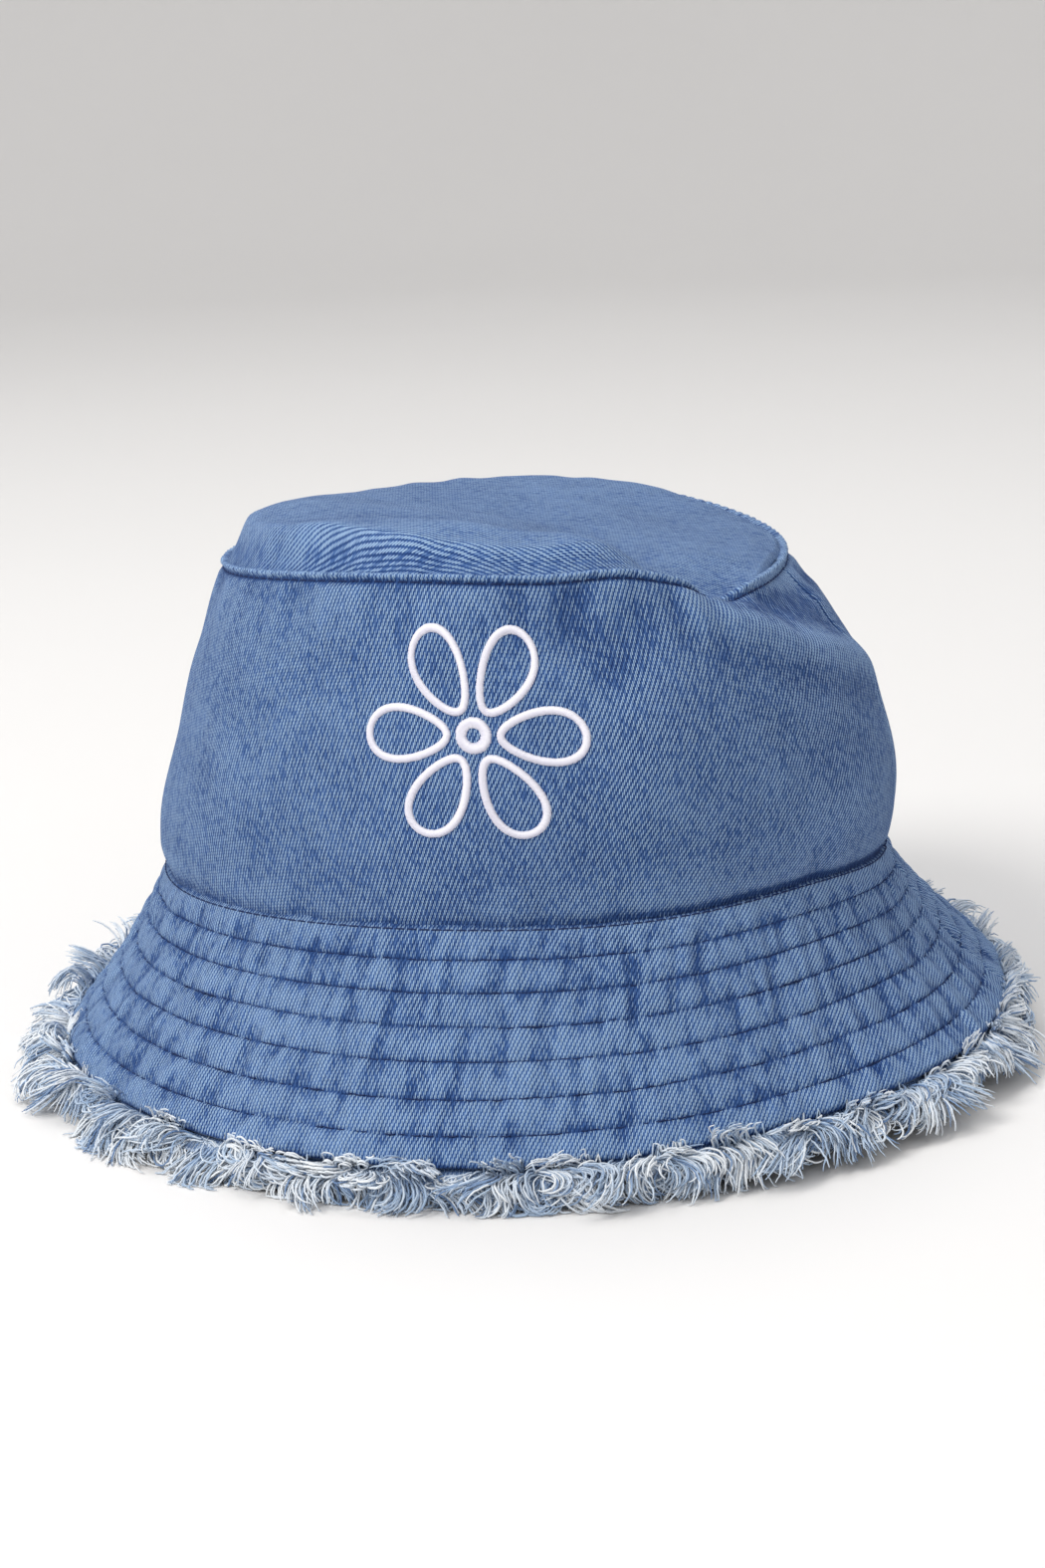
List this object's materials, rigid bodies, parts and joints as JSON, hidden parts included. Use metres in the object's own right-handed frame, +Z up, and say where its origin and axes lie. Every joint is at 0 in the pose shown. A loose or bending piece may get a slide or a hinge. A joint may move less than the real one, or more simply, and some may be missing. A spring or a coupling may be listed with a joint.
{
  "type": "bucket hat",
  "caption": "Washed denim bucket hat: oval crown with a flat top, steep brim sewn in concentric rows, frayed edge strip and a small embroidered flower.",
  "frame": {"origin": "centre of the bounding box on the ground, where the fringe rests", "axes": "+Z up through the crown, -Y to the front with the embroidery, +X to the wearer's left, along the longest side"},
  "size_m": [0.283, 0.273, 0.1432],
  "materials": {
    "washed_denim": "washed mid-blue twill, matte",
    "pale_denim": "raw-edged washed twill, matte",
    "frayed_cotton": "loose white and pale blue yarns, matte",
    "navy_thread": "matte polyester-cotton thread",
    "white_satin": "soft satin sheen",
    "cotton_tape": "matte woven tape",
    "stiff_canvas": "matte stiffener"
  },
  "bodies": {
    "root": {"crown_tip": "washed_denim", "side_panel_front": "washed_denim", "side_panel_back": "washed_denim", "brim_upper_front": "washed_denim", "brim_upper_back": "washed_denim", "brim_lower_front": "washed_denim", "brim_lower_back": "washed_denim", "brim_interlining": "stiff_canvas", "fringe_strip": "pale_denim", "frayed_yarns": "frayed_cotton", "sweatband": "cotton_tape", "tip_seam_tape": "cotton_tape", "side_seam_tape_left": "cotton_tape", "side_seam_tape_right": "cotton_tape", "care_label_blank": "white_satin", "brim_stitching_1": "navy_thread", "brim_stitching_2": "navy_thread", "brim_stitching_3": "navy_thread", "brim_stitching_4": "navy_thread", "brim_stitching_5": "navy_thread", "brim_stitching_6": "navy_thread", "brim_seam_stitching": "navy_thread", "tip_stitching": "navy_thread", "embroidery_petals": "white_satin", "embroidery_centre": "white_satin"}
  },
  "joints": []
}
